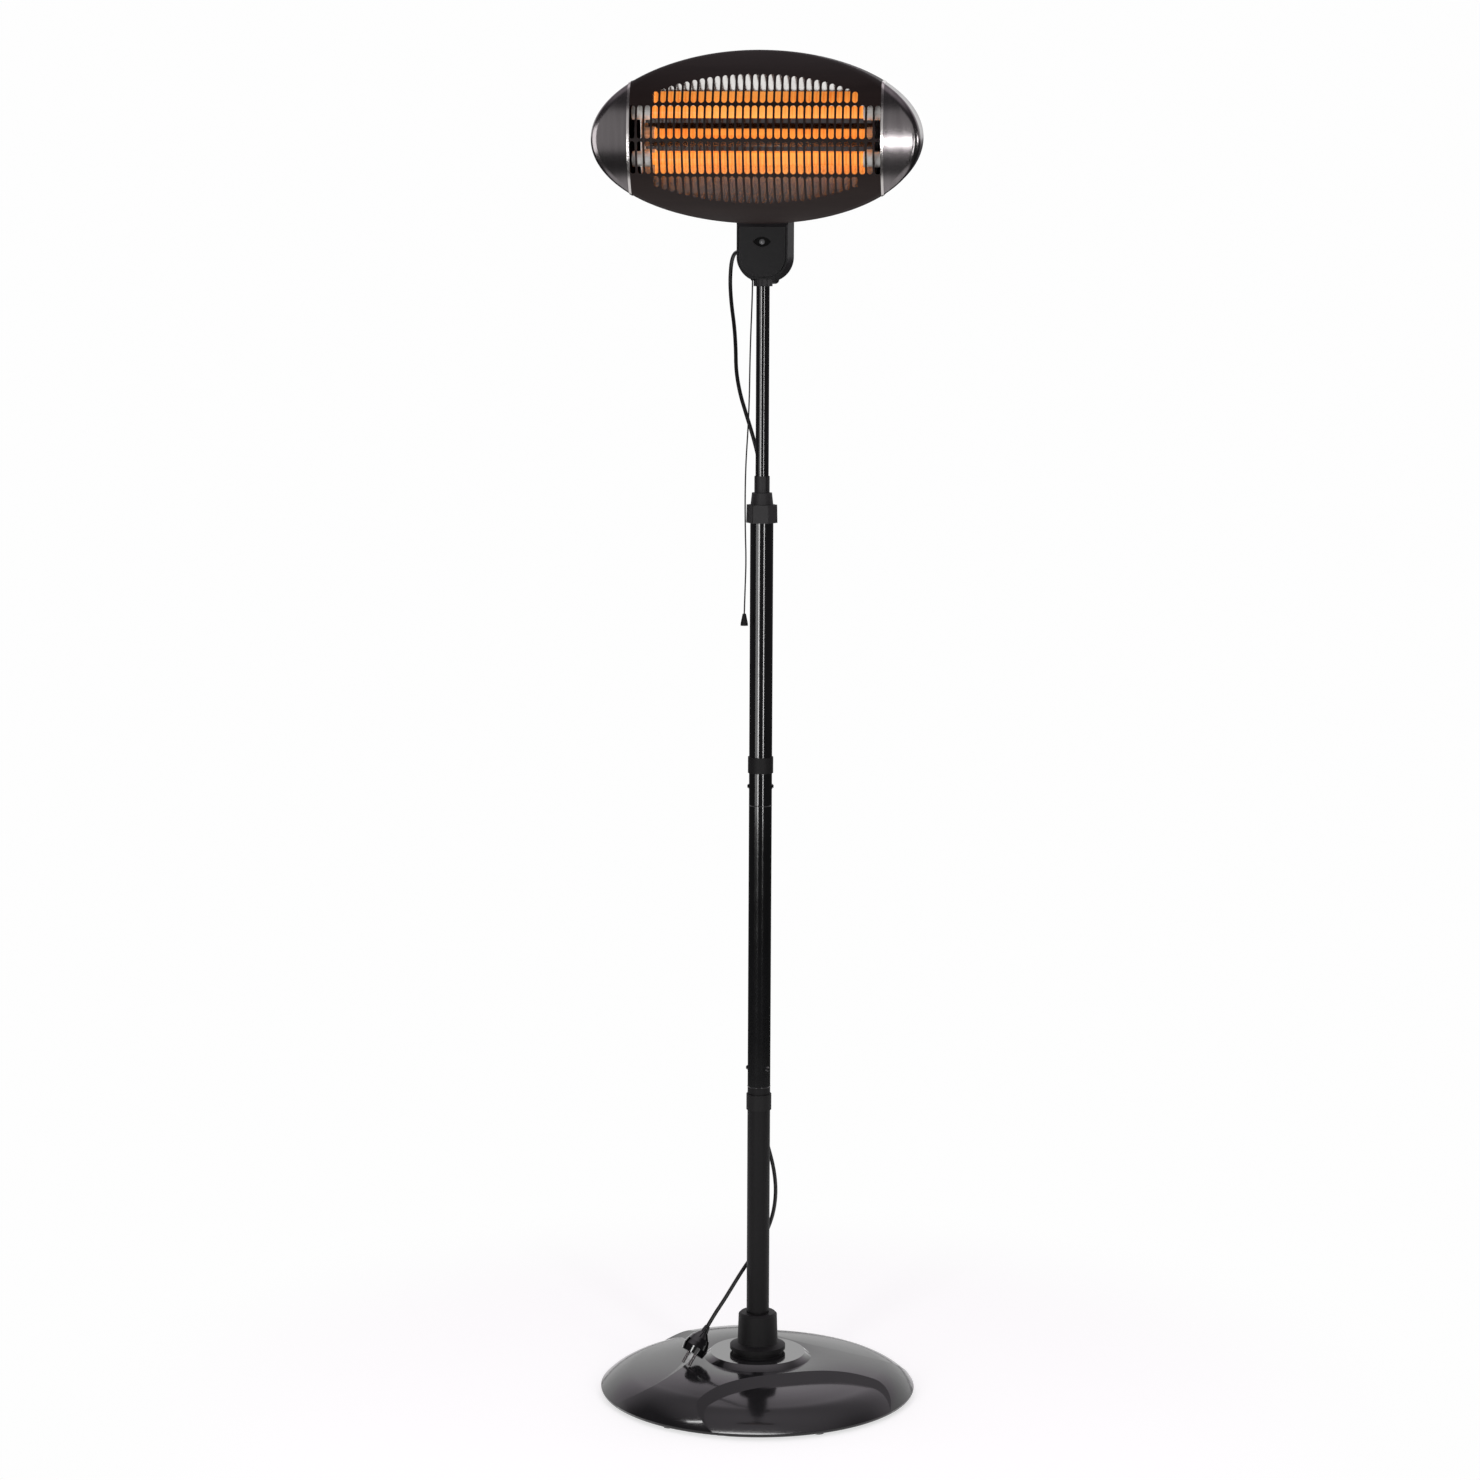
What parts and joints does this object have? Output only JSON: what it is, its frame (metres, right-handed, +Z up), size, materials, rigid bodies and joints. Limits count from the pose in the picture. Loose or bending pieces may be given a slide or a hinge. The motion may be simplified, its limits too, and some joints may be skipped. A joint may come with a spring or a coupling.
{
  "type": "patio_heater",
  "caption": "Free-standing electric patio heater: oval quartz-tube head with a punched curved grille that tilts on a pull-cord control box, on a telescopic pole with a dished base.",
  "frame": {"origin": "on the ground under the axis of the pole, at the middle of the round base", "axes": "+Z up along the pole, -Y to the front that the heating head faces, +X to the viewer's right"},
  "size_m": [0.488, 0.488, 2.055],
  "materials": {
    "enamel": "gloss",
    "gloss_paint": "gloss",
    "satin_paint": "satin",
    "panel_paint": "satin",
    "gunmetal": "gloss",
    "trim": "polished",
    "reflector": "polished",
    "steel": "satin",
    "plated": "polished",
    "plastic": "matte",
    "box_plastic": "satin",
    "rubber": "matte",
    "cord": "satin",
    "pull_string": "matte",
    "cement": "matte",
    "lens": "gloss",
    "ceramic": "matte",
    "quartz": "polished",
    "coil": "matte"
  },
  "bodies": {
    "stand": {"base_dish": "enamel", "base_ballast": "cement", "base_feet": "rubber", "pole_foot": "steel", "foot_bolts": "steel", "base_socket": "plastic", "lower_tube": "satin_paint", "lower_spigot": "steel", "lower_joint_screws": "steel", "lower_cable_ring": "plastic", "middle_tube": "gloss_paint", "upper_spigot": "steel", "upper_joint_screws": "steel", "upper_cable_ring": "plastic", "upper_tube": "gloss_paint", "clamp_collet": "plastic", "mains_cord_clipped": "cord", "mains_cord_lower": "cord", "plug_body": "cord", "plug_pins": "plated"},
    "clamp_nut": {"clamp_nut": "plastic"},
    "mast": {"inner_tube": "gloss_paint", "guide_bush": "plastic", "neck_collar": "plastic", "box_front": "box_plastic", "box_rear": "box_plastic", "box_screws": "steel", "pilot_lens": "lens", "pull_switch": "plastic", "pull_eyelet": "plastic", "cable_gland": "cord", "terminal_block": "plastic", "tip_switch": "plastic", "tilt_bolt": "steel", "tilt_washers": "steel", "mains_cord_upper": "cord"},
    "tilt_knob": {"tilt_knob": "plastic"},
    "pull": {"pull_cord": "pull_string", "pull_knob": "plastic"},
    "head": {"front_panel": "panel_paint", "end_cap_left": "gunmetal", "end_cap_right": "gunmetal", "seam_trim_left": "trim", "seam_trim_right": "trim", "rear_shell": "gunmetal", "reflector": "reflector", "tube_holder_left": "steel", "tube_holder_right": "steel", "ceramic_ends": "ceramic", "quartz_tube_upper": "quartz", "quartz_tube_lower": "quartz", "heating_coil_upper": "coil", "heating_coil_lower": "coil", "head_screws": "steel", "tilt_bracket": "steel", "bracket_screws": "steel"}
  },
  "joints": [
    {"name": "mast_slide", "type": "slide", "parent": "stand", "child": "mast", "axis": [0, 0, 1], "range_m": [-0.275, 0], "deforming": ["mains_cord_upper"]},
    {"name": "nut_turn", "type": "hinge", "parent": "stand", "child": "clamp_nut", "pos_m": [0, 0, 1.372], "axis": [0, 0, 1], "range_deg": [0, 180]},
    {"name": "head_tilt", "type": "hinge", "parent": "mast", "child": "head", "pos_m": [0, 0.01, 1.833], "axis": [1, 0, 0], "range_deg": [-5, 22]},
    {"name": "knob_turn", "type": "hinge", "parent": "mast", "child": "tilt_knob", "pos_m": [0, 0.01, 1.833], "axis": [1, 0, 0], "range_deg": [0, 180]},
    {"name": "pull_slide", "type": "slide", "parent": "mast", "child": "pull", "axis": [0, 0, -1], "range_m": [0, 0.01], "stiffness_N_per_m": 1000}
  ]
}
